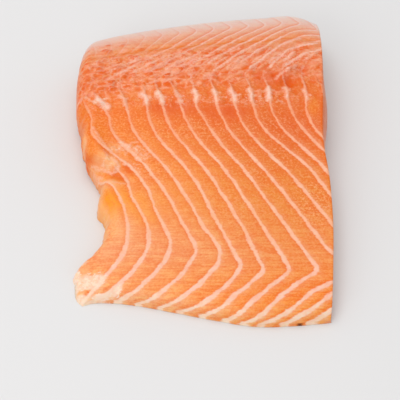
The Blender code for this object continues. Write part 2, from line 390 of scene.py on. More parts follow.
# Strands of fat round the torn flap, as half width, strength and the points of each: the flap's rim
# in two runs, frayed threads above it, the start of the first line at the tail cut, and two pale
# strands on the flap and below its hollow.
FLAP_STRANDS = (
    (0.6, 0.8, ((-62, 99), (-58, 96), (-54.5, 95), (-50, 92.5))),
    (0.8, 0.8, ((-50, 92.5), (-47, 93.5), (-46, 95.5), (-48, 98), (-50, 100))),
    (1.4, 0.95, ((-45.5, 110.5), (-42.5, 108.5), (-40.5, 107.5))),
    (0.6, 0.8, ((-41, 108.5), (-38.5, 110.5), (-36, 111))),
    (0.5, 0.7, ((-43, 106.5), (-43, 103))),
    (0.7, 0.7, ((-49.5, 107), (-47.5, 105), (-45.5, 107.5))),
    (0.4, 0.7, ((-48, 104), (-44, 106))),
    (0.9, 0.9, ((-43, 98), (-42.5, 96.5))),
    (0.5, 0.6, ((-55, 104), (-52.5, 101.5))),
    (0.7, 0.8, ((-61, 96), (-59, 93), (-55.5, 91))),
    (1.2, 0.5, ((-61.5, 118.5), (-57, 111), (-52.5, 105.5))),
    (0.7, 0.6, ((-53, 86.5), (-47, 84.5), (-42, 84))),
)
# Strands by the pin bones at the tail cut, and round the rolled strip at the head end; the last, short one
# there is a painted glint.
BONE_STRANDS = (
    (0.6, 0.75, ((-67, 140), (-64, 137), (-60.5, 136), (-55.5, 138.5))),
    (0.6, 0.7, ((-58, 137), (-56, 135.5), (-57.5, 133.5))),
    (0.7, 0.5, ((32, 144), (37, 144.5), (44, 144), (49, 144.5))),
    (1, 0.7, ((44.5, 152.5), (50.5, 158), (57, 162))),
    # A painted glint: a tiny white highlight on the moist flesh.
    (1.3, 1, ((51.3, 158), (52.5, 159))),
)

# Short threads torn out beside the frayed flesh: where their row starts and ends, and their reach.
FRAY_START, FRAY_END, FRAY_COUNT = np.array((-40, 105.5)), np.array((-31, 100)), 10
FRAY_REACH = np.array((2.2, 3))

# Knots of fat on the lines at the pin bones, threads that go on above them, and streaks that climb
# from there to the crease: the lines that have one, the girths it spans and how far it sways. Among
# them lie loose threads: their number, and the lowest and highest x and y.
KNOT_LINES, KNOT_GIRTHS, KNOT_SWAY = range(3, 15), (147, 144, 140.5), 0.8
THREAD_LINES, THREAD_GIRTHS, THREAD_SWAY = range(4, 15), (147, 151, 155, 160), 0.8
LOOSE_COUNT, LOOSE_LOW, LOOSE_HIGH = 34, (-68, 150), (66, 176)
STREAK_LINES, STREAK_GIRTHS, STREAK_SWAY = range(2, 14), (162, 167, 173, 178, 186), 0.9
STRAND_REACH = 3


def plan_y(x, across):
    """Plan y at this x and share of the way from the belly edge to the back edge."""
    places = np.linspace(0, 1, 200)
    belly, back = smooth_points(BELLY_EDGE, places), smooth_points(BACK_EDGE, places)
    low = np.interp(x, belly[:, 0], belly[:, 1])
    high = np.interp(x, back[:, 0], back[:, 1])
    return low + across * (high - low)


def along_line(line, girths, sway, dice):
    """Plan points on a fat line at these girths, each moved along the fish at random by up to sway."""
    girths = np.array(girths, float)
    x = line_positions(girths)[:, line - FIRST_LINE] + dice.uniform(-sway, sway, len(girths))
    return np.column_stack((x, plan_y(x, (girths - EDGE_GIRTH) / GIRTH_SCALE)))


def all_strands():
    """Every stray strand of fat, and one painted glint, as half width, strength and points.

    A knot is hooked towards the tail at its top and has a thin arm on the other side. A streak may
    start or stop short, and there are shorter ones half way between the lines. The streaks grow
    plainer towards the head."""
    dice = np.random.default_rng(STRAND_SEED)
    strands = list(FLAP_STRANDS + BONE_STRANDS)
    for place in np.linspace(FRAY_START, FRAY_END, FRAY_COUNT):
        root = place + dice.uniform(-0.5, 0.5, 2)
        tip = root + FRAY_REACH * dice.uniform(0.6, 1.2)
        strands.append((0.45, dice.uniform(0.6, 1.0), (root, tip)))
    for line in KNOT_LINES:
        points = along_line(line, KNOT_GIRTHS, KNOT_SWAY, dice)
        points[0, 0] -= dice.uniform(0.5, 3.5)
        strands.append((dice.uniform(1.2, 2.4), dice.uniform(0.65, 0.95), points))
        arm = points[1] + np.array(((0, 0), (dice.uniform(1.5, 3.5), dice.uniform(-1, 2.5))))
        strands.append((0.8, 0.75, arm))
    for line in THREAD_LINES:
        points = along_line(line, THREAD_GIRTHS, THREAD_SWAY, dice)
        strands.append((dice.uniform(0.35, 0.6), dice.uniform(0.4, 0.65), points))
    for _ in range(LOOSE_COUNT):
        start = dice.uniform(LOOSE_LOW, LOOSE_HIGH)
        heading, length = math.radians(dice.uniform(15, 65)), dice.uniform(3.5, 7.5)
        end = start + length * np.array((math.cos(heading), math.sin(heading)))
        strands.append((dice.uniform(0.3, 0.6), dice.uniform(0.4, 0.7), (start, end)))
    for line in STREAK_LINES:
        headwards = (line - STREAK_LINES[0]) / len(STREAK_LINES)
        points = along_line(line, STREAK_GIRTHS, STREAK_SWAY, dice)
        first, missing = dice.integers(0, 2), 0 if headwards > 0.4 else dice.integers(0, 2)
        part = points[first:len(points) - missing]
        strands.append((0.5 + 0.5 * headwards, 0.6 + 0.4 * headwards, part))
        short = points[1:3] + (5.0 + dice.uniform(-1, 1), -1.0)
        strands.append((dice.uniform(0.5, 1.3), 0.5 + 0.2 * headwards, short))
    return strands


def strand_depth(x, y):
    """How deep each place lies inside the nearest strand, in mm, and that strand's strength."""
    depth, strength = np.full_like(x, -STRAND_REACH), np.zeros_like(x)
    for half_width, shown, points in all_strands():
        ends = np.array(points, float)
        for start, end in zip(ends[:-1], ends[1:]):
            run = end - start
            share = ((x - start[0]) * run[0] + (y - start[1]) * run[1]) / (run @ run)
            share = np.clip(share, 0, 1)
            gap = np.hypot(x - start[0] - share * run[0], y - start[1] - share * run[1])
            nearer = half_width - gap > depth
            depth[nearer] = (half_width - gap)[nearer]
            strength[nearer] = shown
    return depth, strength


def line_half_width(across, blocks):
    """Half width of the fat lines, with a knot at the pin bones; the first few lines are finer."""
    girths, widths = np.array(LINE_HALF_WIDTHS).T
    girth = girth_of(across)
    finer = 1 - 0.3 * fade(blocks, 0.5, 4.0) * smooth_step(girth, 50, 66)
    knot = BONE_KNOT_WIDTH * bell(girth, BONE_KNOT_GIRTH, BONE_KNOT_SPAN)
    return np.interp(girth, girths, widths) * finer + knot


def line_strength(along, across, blocks):
    """How plainly the fat lines show: they fade over the back, more so towards the tail.

    Nothing shows of the lines before the first one on the flank, next to the tail cut, nor of the
    last ones in the corner of the belly edge and the head cut."""
    shares, strengths = np.array(LINE_STRENGTHS).T
    on_back = smooth_step(across, 0.67, 0.71)
    towards_head = 0.35 + 0.65 * smooth_step(along, 0.1, 0.6)
    towards_head = towards_head * (1 - 0.5 * smooth_step(across, 0.88, 0.94) * (1 - along))
    shown = np.interp(across, shares, strengths) * (1 - on_back + on_back * towards_head)
    by_cut = fade(blocks, -0.6, -0.4) * fade(across, 0.50, 0.56)
    by_flap = (bell(across, 0.55, 0.11) > 0.35) * fade(blocks, 1.35, 1.6)
    in_corner = smooth_step(blocks, 11.35, 11.6) * fade(across, 0.06, 0.1)
    return shown * (1 - np.maximum(np.maximum(by_cut, by_flap), in_corner))


def lumps(girth, blocks):
    """Torn lumps between -1 and 1 that lie along the fat lines, in two sizes."""
    large, small = grain(blocks, girth, "torn_lumps"), grain(blocks, girth, "small_torn_lumps")
    return np.clip(1.1 * large + 0.7 * small, -1, 1)


def flake_cells(x, y, across):
    """How far into a flake's deep heart, partly painted shade, each place is, and how near its pale seams and
    the painted highlight on its rim, from 0 to 1.

    The flakes are the cells round the points of a slanted lattice, each point moved at random. Each
    has a deep heart set towards the belly, partly painted shade, and a painted highlight on its side
    towards the back, and is faintly pale along its seams; some are plain and others hardly show.
    They lie between the pin bones and the crease, and reach up over the crease by the tail cut."""
    c, s = math.cos(CELL_TURN), math.sin(CELL_TURN)
    u, w = (x * c + y * s) / CELL_LONG, (y * c - x * s) / CELL_WIDE
    i, j = np.floor(u).astype(int), np.floor(w).astype(int)
    dice = np.random.default_rng(FLAKE_SEED)
    moved = dice.uniform(-0.48, 0.48, (LATTICE, LATTICE, 2))
    shown = dice.uniform(0.1, 1.4, (LATTICE, LATTICE)).clip(0, 1)
    cells = []
    for column in (i - 1, i, i + 1):
        for row in (j - 1, j, j + 1):
            cell = column % LATTICE, row % LATTICE
            side, up = u - column - 0.5 - moved[cell][..., 0], w - row - 0.5 - moved[cell][..., 1]
            cells.append((np.hypot(side, up), side, up, shown[cell]))
    cells = np.array(cells)
    order = np.argsort(cells[:, 0], axis=0)[:, None]
    nearest, sideways, upward, plain = np.take_along_axis(cells, order[:1], 0)[0]
    second = np.take_along_axis(cells, order[1:2], 0)[0, 0]
    upper_end = 0.82 + 0.07 * fade(x, -55, -20)
    flaky = smooth_step(across, 0.66, 0.69) * fade(across, upper_end - 0.02, upper_end)
    flaky = flaky * (1 - 0.6 * smooth_step(x, -20, 30)) * (0.75 + 0.25 * grain(x, y, "flakes"))
    # The heart is set towards the belly: partly the flake's deep flesh, partly painted shade.
    heart = flaky * plain * fade(np.hypot(sideways, upward + 0.1), 0.12, 0.46)
    seam = 0.45 * fade(second - nearest, 0.0, 0.22)
    # Painted highlight on each flake's side towards the back.
    top_highlight = plain * smooth_step(upward, 0.05, 0.34) * fade(np.abs(sideways), 0.2, 0.6)
    return heart, flaky * np.maximum(seam, top_highlight)


def roughness_of(x, y, across):
    """How torn the flesh is: most between the pin bones and the crease, and in the frayed patches."""
    bones = 0.55 * bell(across, 0.635, 0.035)
    return np.clip(np.maximum(zone(across, "torn"), bones) + 0.5 * patches(x, y, "frayed"), 0, 1)


def relief(x, y, across, blocks):
    """Low relief of the flesh: flakes by the backbone, raised fat lines, lumps and fibres."""
    between_lines = np.sin(math.pi * blocks)
    on_line = np.exp(-((between_lines / 0.35) ** 2))
    ridged = zone(across, "ridged")
    heart, seam = flake_cells(x, y, across)
    strand, shown = strand_depth(x, y)
    forms = {
        "block_ridges": ridged * (np.abs(between_lines) ** 0.7 - 0.5),
        "torn_lumps": roughness_of(x, y, across) * lumps(girth_of(across), blocks),
        "flake_hearts": heart,
        "flake_seams": seam,
        "strands": shown * smooth_step(strand, -0.8, 0.5),
        "bone_knots": bell(across, 0.655, 0.022) * on_line,
        "fat_lines": on_line * (1 - ridged) * fade(across, 0.80, 0.9),
        "swells": grain(x, y, "swells"),
        "fibres": grain(x, y, "fibres"),
        "belly_fat": patches(x, y, "belly_fat") * grain(x, y, "belly_fat"),
        "frayed": patches(x, y, "frayed") * grain(x, y, "frayed"),
        "crease": bell(across, CREASE_SHARE, CREASE_WIDTH),
    }
    return sum(RELIEF[name] * form for name, form in forms.items())


def top_height(x, y, along, across, blocks):
    """Height of the flesh above the underside: thickness, relief, local forms and edge rounding."""
    shares, heights = np.array(THICKNESS).T
    height = np.interp(across, shares, heights) * (1 - TAIL_THINNING * (1 - along))
    height = height + local_forms(x, y) + relief(x, y, across, blocks)
    gap, along_flap = flap_gap(x, y)
    height += FLAP_HEIGHT * along_flap * smooth_step(gap, -1, 1) * fade(gap, 1.5, FLAP_REACH)
    thick_side = smooth_step(across, TAIL_THIN_TO, TAIL_THICK_FROM)
    tail_shoulder = THIN_TAIL_SHOULDER + (THICK_TAIL_SHOULDER - THIN_TAIL_SHOULDER) * thick_side
    long_side, wide_side = x[-1:] - x[:1], y[:, -1:] - y[:, :1]
    for distance, width, shoulder in (
        (along * long_side, TAIL_ROUND, tail_shoulder),
        ((1 - along) * long_side, HEAD_ROUND, HEAD_SHOULDER),
        (across * wide_side, BELLY_ROUND, BELLY_SHOULDER),
        ((1 - across) * wide_side, BACK_ROUND, BACK_SHOULDER),
    ):
        height = height * rounded(distance, width, shoulder)
    return height


def edge_spacing(count):
    """Shares 0 to 1 that lie closer together near both ends, for the rounded edges."""
    even = np.linspace(0, 1, count)
    return EVEN_SHARE * even + (1 - EVEN_SHARE) * (1 - np.cos(math.pi * even)) / 2


def block_slope(points, blocks):
    """Slope of the block count over the surface, in blocks a millimetre."""
    step_a, step_b = np.gradient(points, axis=0), np.gradient(points, axis=1)
    count_a, count_b = np.gradient(blocks)
    aa, bb, ab = (step_a**2).sum(-1), (step_b**2).sum(-1), (step_a * step_b).sum(-1)
    slope = (bb * count_a**2 - 2 * ab * count_a * count_b + aa * count_b**2) / (aa * bb - ab**2)
    return np.clip(np.sqrt(slope), 1 / LONGEST_BLOCK, 1 / SHORTEST_BLOCK)


def rim_order(grid):
    """The numbers on a grid's rim, once round, seen from above against the clock."""
    return np.concatenate((grid[:-1, 0], grid[-1, :-1], grid[:0:-1, -1], grid[0, :0:-1]))


def rim_outward(rim):
    """Unit plan direction that points out of the outline at each point of the rim.

    It is read over CORNER_REACH points to each side, so that it turns gently round the corners."""
    step = np.roll(rim[:, :2], -CORNER_REACH, axis=0) - np.roll(rim[:, :2], CORNER_REACH, axis=0)
    return np.stack((step[:, 1], -step[:, 0]), axis=1) / np.linalg.norm(step, axis=1)[:, None]


def wall_ring(rim, outward, level):
    """The rim at a share of its height: it tucks in towards the board and leans out at the slant."""
    ring = rim.copy()
    thin_side = smooth_step(-rim[:, 1], -THIN_EDGE_TO, -THIN_EDGE_FROM) * (outward[:, 0] < 0.8)
    tuck = (thin_side * (UNDERCUT + EDGE_SPREAD) - UNDERCUT) * (1 - level) ** 2
    head_side = smooth_step(outward[:, 0], 0.8, 0.95)
    slant = SLANT_DEPTH * head_side * bell(rim[:, 1], SLANT_PLACE, SLANT_SPAN)
    tail_side = smooth_step(-outward[:, 0], 0.2, 0.8)
    rough = 0.5 * tail_side * grain(rim[:, 1], level * rim[:, 2], "tail_wall")
    push = tuck + (slant + rough) * math.sin(math.pi * level)
    ring[:, :2] += outward * push[:, None]
    ring[:, 2] *= level
    return ring


def underside(flat):
    """Triangles over the flat outline with a grid of inner points.

    Gives the inner points, and faces that number the outline's points first, then these."""
    low, high = flat.min(0), flat.max(0)
    xs = np.arange(low[0] + UNDERSIDE_PITCH, high[0], UNDERSIDE_PITCH)
    ys = np.arange(low[1] + UNDERSIDE_PITCH, high[1], UNDERSIDE_PITCH)
    inner = np.stack(np.meshgrid(xs, ys), axis=-1).reshape(-1, 2)
    gaps = np.linalg.norm(inner[:, None] - flat[None, ::4], axis=2).min(1)
    inner = inner[gaps > UNDERSIDE_PITCH / 2]
    seeds = [Vector(p) for p in np.concatenate((flat, inner))]
    loop = [list(range(len(flat)))]
    _, _, faces, sources, _, _ = geometry.delaunay_2d_cdt(seeds, [], loop, 1, 1e-6)
    used = sorted({sources[corner][0] for face in faces for corner in face} - set(loop[0]))
    number = {seed: place for place, seed in enumerate(loop[0] + used)}
    faces = [[number[sources[corner][0]] for corner in reversed(face)] for face in faces]
    return np.array([seeds[seed] for seed in used]), faces


def surface_values(x, y, along, across, blocks, slope, on_wall=0):
    """What the flesh material reads at each point of the mesh.

    The sine of the block count is zero on every line, and over its slope it is a distance in mm. The
    painted shade under the flap's lip joins the painted shade in the pits. The dark spot and the
    pinkish face of the head cut lie on the wall alone."""
    values = {name: patches(x, y, name) for name in PATCHES}
    rough = roughness_of(x, y, across)
    gap, along_flap = flap_gap(x, y)
    values["strand"], values["strand_strength"] = strand_depth(x, y)
    values["heart"], values["seam"] = flake_cells(x, y, across)
    # Painted shade under the flap's lip, laid in with the pits' painted shade.
    values["pit"] = np.maximum(values["pit"], 0.75 * along_flap * bell(gap, -1.6, 1.7))
    # Painted light along the thin rim of the tail cut, where its steep edge would fall into shade.
    painted_rim_light = fade(along, 0.004, 0.045) * fade(across, TAIL_THIN_TO, TAIL_THICK_FROM)
    values["pale"] = np.maximum(values["pale"], 0.8 * painted_rim_light)
    values["spot"] = on_wall * values["spot"]
    softer_at_tail = 0.5 + 0.5 * smooth_step(x, -40, 10)
    return values | {
        "across": across,
        "along": along,
        "rough": rough,
        # The torn lumps' relief, which the material paints as light and shade.
        "lump": rough * lumps(girth_of(across), blocks) * softer_at_tail,
        "line_distance": np.sin(math.pi * blocks) / (math.pi * slope),
        "line_side": np.sin(2 * math.pi * blocks),
        "line_half_width": line_half_width(across, blocks),
        "line_strength": line_strength(along, across, blocks),
        "cut_face": on_wall * smooth_step(along, 0.96, 1.0) * fade(across, 0.8, 0.9),
    }


def fillet_surface():
    """The closed body: a fine grid over the top, rings down the edges and a flat underside.

    Gives its points in mm, its faces, and the material's values at each point."""
    along, across = np.meshgrid(edge_spacing(COLUMNS), edge_spacing(ROWS), indexing="ij")
    plan = outline_patch(along, across)
    x, y = plan[..., 0], plan[..., 1]
    blocks = muscle_blocks(x, y, across)
    top = np.stack((x, y, top_height(x, y, along, across, blocks)), axis=-1)
    fields = [v.ravel() for v in (x, y, along, across, blocks, block_slope(top, blocks))]
    points, values = [top.reshape(-1, 3)], [surface_values(*fields)]

    grid = np.arange(COLUMNS * ROWS).reshape(COLUMNS, ROWS)
    squares = np.stack((grid[:-1, :-1], grid[1:, :-1], grid[1:, 1:], grid[:-1, 1:]), axis=-1)
    faces = [squares.reshape(-1, 4)]

    upper = rim_order(grid)
    rim = points[0][upper]
    outward = rim_outward(rim)
    values += [surface_values(*(field[upper] for field in fields), on_wall=1)] * WALL_RINGS
    count, total = len(upper), len(points[0])
    for number in range(1, WALL_RINGS + 1):
        points.append(wall_ring(rim, outward, 1 - number / WALL_RINGS))
        lower = np.arange(total, total + count)
        faces.append(np.stack((upper, lower, np.roll(lower, -1), np.roll(upper, -1)), axis=1))
        upper, total = lower, total + count

    inner, base = underside(points[-1][:, :2])
    x, y = inner.T
    low, high = plan_y(x, 0), plan_y(x, 1)
    along, across = (x - x.min()) / np.ptp(x), np.clip((y - low) / (high - low), 0, 1)
    blocks = muscle_blocks(x, y, across)
    points.append(np.column_stack((inner, 0 * x)))
    values.append(surface_values(x, y, along, across, blocks, 1 / UNDERSIDE_BLOCK))
    faces.append(np.array([face for face in base if len(face) == 3]) + total - count)

    joined = {name: np.concatenate([v[name] for v in values]) for name in values[0]}
    return np.concatenate(points), [face for part in faces for face in part.tolist()], joined


def put(name, content):
    """A new object in the scene with this mesh, lamp or camera."""
    piece = bpy.data.objects.new(name, content)
    bpy.context.scene.collection.objects.link(piece)
    return piece


def put_mesh(name, points, faces, values):
    """A mesh object from points in metres, faces as lists of corners and values at the points."""
    mesh = bpy.data.meshes.new(name)
    mesh.from_pydata(points.tolist(), [], faces)
    mesh.validate()
    for title, numbers in values.items():
        attribute = mesh.attributes.new(title, "FLOAT", "POINT")
        attribute.data.foreach_set("value", numbers.astype(np.float32))
    mesh.shade_smooth()
    return put(name, mesh)


# Colours as they show on a screen, red, green and blue from 0 to 255, against the share across.
# The two flesh ramps carry painted light as well as the flesh's own colour: their stop at the rounded belly
# edge is paler, against the shade that edge falls into, and their stops from 0.89 to 0.95 over the back slope
# are a pale pinkish painted sheen.
FLESH_AND_PAINTED_LIGHT_AT_TAIL = (
    (0, (255, 208, 156)), (0.05, (255, 188, 125)), (0.14, (250, 180, 135)),
    (0.3, (252, 166, 94)), (0.45, (252, 154, 78)), (0.61, (246, 130, 60)),
    (0.77, (246, 158, 108)), (0.82, (236, 150, 96)), (0.89, (238, 190, 172)),
    (0.95, (231, 214, 208)), (1, (240, 184, 160)),
)
FLESH_AND_PAINTED_LIGHT_AT_HEAD = (
    (0, (255, 180, 108)), (0.05, (250, 148, 62)), (0.16, (242, 157, 94)),
    (0.35, (236, 142, 68)), (0.55, (226, 106, 10)), (0.66, (226, 114, 48)),
    (0.77, (230, 148, 112)), (0.82, (229, 158, 116)), (0.89, (237, 192, 175)),
    (0.95, (232, 217, 211)), (1, (240, 184, 160)),
)
LINE_COLOURS = (
    (0, (255, 226, 202)), (0.04, (252, 204, 184)), (0.25, (252, 192, 162)),
    (0.45, (252, 195, 168)), (0.58, (248, 170, 134)), (0.66, (247, 188, 164)),
    (0.82, (247, 197, 182)), (0.89, (240, 206, 196)), (0.95, (237, 226, 226)), (1, (246, 214, 200)),
)
FIBRE_PALE, FIBRE_DEEP, MOTTLE_DEEP = (255, 184, 116), (242, 112, 44), (236, 100, 36)
GRIT_DEEP, FROTH_PALE, DEEP_ORANGE = (232, 96, 20), (250, 192, 148), (236, 106, 36)
LUMP_TOP_LIGHT_PINK, SEAM_AND_HIGHLIGHT_PINK, HEART_AND_SHADE_ORANGE = (250, 180, 150), (251, 186, 162), (229, 96, 28)
CREASE_SHADE_ORANGE, RED_FLESH_AND_SHADE, PIT_SHADE_ORANGE = (236, 124, 44), (228, 92, 36), (234, 104, 8)
GOLDEN, PALE_PEACH_AND_RIM_LIGHT, CUT_PINK = (253, 160, 62), (255, 196, 146), (226, 156, 136)
FAT_CREAM, FRAY_WHITE, KNOT_AND_GLINT_WHITE = (254, 225, 203), (252, 216, 194), (253, 224, 212)
SPOT_BROWN, FLOOR_COLOUR = (92, 52, 34), (233, 232, 232)

# Noises of the flesh: cells a millimetre along X, Y and Z, levels of detail and their roughness.
NOISES = {
    "fibres": ((0.055, 0.85, 0.85), 3, 0.6),
    "mottle": ((0.16, 0.22, 0.22), 3, 0.6),
    "grit": ((0.75, 0.85, 0.85), 4, 0.75),
    "crumbs": ((0.6, 0.85, 0.85), 4, 0.75),
    "patches": ((0.3, 0.4, 0.4), 3, 0.65),
    "teeth": ((0.13, 0.9, 0.9), 3, 0.65),
    "wobble": ((0.4, 0.4, 0.4), 2, 0.5),
    "swell": ((0.11, 0.11, 0.11), 3, 0.6),
    "fading": ((0.22, 0.3, 0.3), 3, 0.6),
    "flecks": ((0.42, 0.55, 0.55), 4, 0.7),
    "fine": ((0.35, 1.6, 1.6), 4, 0.65),
}
# Flakes drawn by seams: cells a millimetre, and the noise that warps them by up to WARP_REACH mm.
SEAM_CELLS, WARP_NOISE, WARP_REACH = (0.15, 0.25, 0.25), (0.35, 2, 0.5), 3

# The fat lines' soft edge, their halo's reach, and how far teeth and wobbles shift them, in mm; how
# deep the crumbs eat into a strand, in mm, and into torn flesh.
LINE_SOFT, LINE_HALO, TEETH_DEPTH, WOBBLE_DEPTH = 0.42, 2.6, 1.5, 0.8
STRAND_CRUMBS, TORN_CRUMBS = 4.4, 2.7

MOIST_ROUGHNESS, FAT_ROUGHNESS, BUMP_STRENGTH, BUMP_DEPTH = 0.34, 0.46, 0.35, 0.00025
FLESH_FINISH = {
    "Subsurface Weight": 0.25, "Subsurface Radius": (1, 0.4, 0.2), "Subsurface Scale": 0.0012,
    "Specular IOR Level": 0.16, "IOR": 1.4, "Coat Weight": 0.05, "Coat Roughness": 0.15,
}

FLOOR_REACH, FLOOR_ROUGHNESS = 4, 0.7

# How bright the scene is, the sky's share of it, and each lamp's width, power and place in metres.
LIGHT_LEVEL = 1.2
SKY_SHARE = 0.645
SOFT_LAMPS = (
    ("softbox", 1.4, 8.5, (-0.22, 0.40, 1.5)),
    ("fill", 1, 4.4, (-0.6, -1, 0.55)),
)
MOIST_GLOSS, DRY_GLOSS = (0.003, 0.019, 0.034), (0.03, 0.03, 0.03)


def paint(colour, gloss=MOIST_GLOSS):
    """The linear colour and alpha of a surface that shows as this screen colour under the lamps.

    The lamps brighten it by LIGHT_LEVEL, and the surface adds its gloss."""
    shares = [c / 255 for c in colour]
    linear = [s / 12.92 if s <= 0.04045 else ((s + 0.055) / 1.055) ** 2.4 for s in shares]
    return tuple(max(v - g, 0.003) / LIGHT_LEVEL for v, g in zip(linear, gloss)) + (1.0,)


# The mixing node's inputs for plain numbers and directions, between its share and its two colours.
UNFED = (None,) * 5


class Shading:
    """A material's node tree, with short ways to add nodes and join them up."""

    def __init__(self, name):
        self.material = bpy.data.materials.new(name)
        self.material.use_nodes = True
        self.tree = self.material.node_tree
        self.shader = self.tree.nodes["Principled BSDF"]

    def feed(self, socket, value):
        """Gives a socket another node's output or a plain value."""
        if isinstance(value, bpy.types.NodeSocket):
            self.tree.links.new(value, socket)
        else:
            socket.default_value = value

    def add(self, kind, *inputs, **settings):
        """Adds a node with these settings, and feeds its first inputs in order."""
        node = self.tree.nodes.new("ShaderNode" + kind)
        for key, value in settings.items():
            setattr(node, key, value)
        for socket, value in zip(node.inputs, inputs):
            if value is not None:
                self.feed(socket, value)
        return node

    def value(self, name):
        """One of the mesh's own values."""
        return self.add("Attribute", attribute_name=name).outputs["Fac"]

    def math(self, operation, *values):
        """A sum, product or other operation on numbers."""
        return self.add("Math", *values, operation=operation).outputs[0]

    def times(self, product, *others):
        """The product of these numbers."""
        for other in others:
            product = self.math("MULTIPLY", product, other)
        return product

    def scaled(self, place, factors):
        """A place with its three numbers multiplied by these."""
        return self.add("VectorMath", place, factors, operation="MULTIPLY").outputs[0]

    def blend(self, share, first, second):
        """Colour between two, by share."""
        node = self.add("Mix", share, *UNFED, first, second, data_type="RGBA")
        return node.outputs[2]

    def between(self, value, low, high, start=0.0, end=1.0):
        """start below low, end above high, and a smooth S between them."""
        node = self.add("MapRange", value, low, high, start, end, interpolation_type="SMOOTHSTEP")
        return node.outputs[0]

    def ramp(self, value, stops):
        """Colour read from stops of place and screen colour."""
        node = self.add("ValToRGB", value)
        elements = node.color_ramp.elements
        while len(elements) < len(stops):
            elements.new(1.0)
        for element, (place, colour) in zip(elements, stops):
            element.position = place
            element.color = paint(colour)
        return node.outputs[0]


class Flesh(Shading):
    """The flesh's node tree, with its colour so far and the noises that several layers share."""

    def __init__(self):
        super().__init__("salmon_flesh")
        own = self.add("TexCoord").outputs["Object"]
        self.place = self.scaled(own, (1 / MILLIMETRE,) * 3)
        self.across = self.value("across")
        self.mottle, self.grit = self.noise("mottle"), self.noise("grit")
        self.crumbs = self.off_middle("crumbs")
        self.fading = self.between(self.noise("fading"), 0.3, 0.65, 0.72, 1.0)
        self.fat = self.ramp(self.across, LINE_COLOURS)
        self.colour = None

    def noise(self, name):
        """One of the named noises, from 0 to 1."""
        cells, detail, roughness = NOISES[name]
        node = self.add("TexNoise", self.scaled(self.place, cells), None, 1.0, detail, roughness)
        return node.outputs[0]

    def off_middle(self, name):
        """One of the named noises, from -0.5 to 0.5."""
        return self.math("SUBTRACT", self.noise(name), 0.5)

    def seam_gap(self):
        """Distance to the nearest seam between warped cells, in cell widths."""
        warp = self.add("TexNoise", self.place, None, *WARP_NOISE).outputs["Color"]
        reach = (WARP_REACH,) * 3
        warped = self.add("VectorMath", warp, reach, self.place, operation="MULTIPLY_ADD").outputs[0]
        cells = self.scaled(warped, SEAM_CELLS)
        return self.add("TexVoronoi", cells, None, 1.0, feature="DISTANCE_TO_EDGE").outputs["Distance"]

    def tint(self, colour, *shares):
        """Lays a screen colour over the colour so far, by the product of these shares."""
        self.colour = self.blend(self.times(*shares), self.colour, paint(colour))

    def lay_fat(self, *shares):
        """Lays the fat's own colour over it in the same way."""
        self.colour = self.blend(self.times(*shares), self.colour, self.fat)


def lay_muscle(s):
    """Orange flesh, deeper towards the head, with fibres, mottling and fine grit, and the painted light of
    its ramps.
    """
    tail, head = s.ramp(s.across, FLESH_AND_PAINTED_LIGHT_AT_TAIL), s.ramp(s.across, FLESH_AND_PAINTED_LIGHT_AT_HEAD)
    plain = s.blend(s.between(s.value("along"), 0.05, 0.85), tail, head)
    # Fibres and mottling fade out over the back slope, under the painted sheen.
    flush = s.between(s.across, 0.84, 0.93, 1.0, 0.2)
    paler, deeper = s.blend(0.30, plain, paint(FIBRE_PALE)), s.blend(0.42, plain, paint(FIBRE_DEEP))
    streaky = s.blend(s.between(s.noise("fibres"), 0.40, 0.60), deeper, paler)
    s.colour = s.blend(s.times(s.between(s.across, 0.14, 0.32, 1.0, 0.45), flush), plain, streaky)
    s.tint(MOTTLE_DEEP, s.between(s.mottle, 0.65, 0.35), flush, 0.22)
    gritty = s.times(s.math("ADD", 0.30, s.times(s.value("froth"), 0.4)), flush)
    s.tint(GRIT_DEEP, s.between(s.grit, 0.52, 0.36), gritty)
    s.tint(FROTH_PALE, s.between(s.grit, 0.48, 0.66), gritty)


def lay_flakes(s):
    """Torn flakes between the pin bones and the crease: deep hearts, pale rims and seams.

    The torn lumps get painted shade in their hollows and painted light on their tops. The flakes'
    hearts are partly painted shade, and their pale rims towards the back are a painted highlight. The
    crease gets a band of painted shade.
    """
    rough = s.value("rough")
    # Painted shade in the hollows of the torn lumps and painted light on their tops, following their relief.
    torn = s.math("ADD", s.value("lump"), s.times(s.crumbs, rough, TORN_CRUMBS))
    s.tint(DEEP_ORANGE, s.between(torn, 0.0, -0.85, 0.0, 0.8))
    s.tint(LUMP_TOP_LIGHT_PINK, s.between(torn, 0.0, 0.85, 0.0, 0.35))
    patchy = s.between(s.noise("patches"), 0.34, 0.5, 0.5, 1.0)
    # Partly painted shade: the flakes' deep hearts, set towards the belly side.
    s.tint(HEART_AND_SHADE_ORANGE, s.value("heart"), patchy)
    flaky = s.times(rough, s.between(s.across, 0.645, 0.675))
    flaky = s.times(flaky, s.between(s.value("along"), 0.35, 0.75, 1.0, 0.5))
    gap = s.seam_gap()
    s.tint(DEEP_ORANGE, s.between(gap, 0.08, 0.34, 0.0, 0.7), flaky)
    edge = s.times(s.between(gap, 0.02, 0.14, 0.6, 0.0), flaky, s.between(patchy, 0.5, 1.0, 0.3, 1.0))
    s.tint(SEAM_AND_HIGHLIGHT_PINK, edge, s.between(s.crumbs, -0.14, 0.08))
    # The seam value carries the pale seams and the painted highlight on each flake's back side.
    s.tint(SEAM_AND_HIGHLIGHT_PINK, s.value("seam"), patchy, 0.9)
    # Painted shade along the crease, shifted a little to the belly side of the dent.
    off_crease = s.math("ABSOLUTE", s.math("SUBTRACT", s.across, CREASE_SHARE - CREASE_SHIFT))
    s.tint(CREASE_SHADE_ORANGE, s.between(off_crease, 0.002, 0.014, 0.85, 0.0), s.between(s.mottle, 0.42, 0.6))


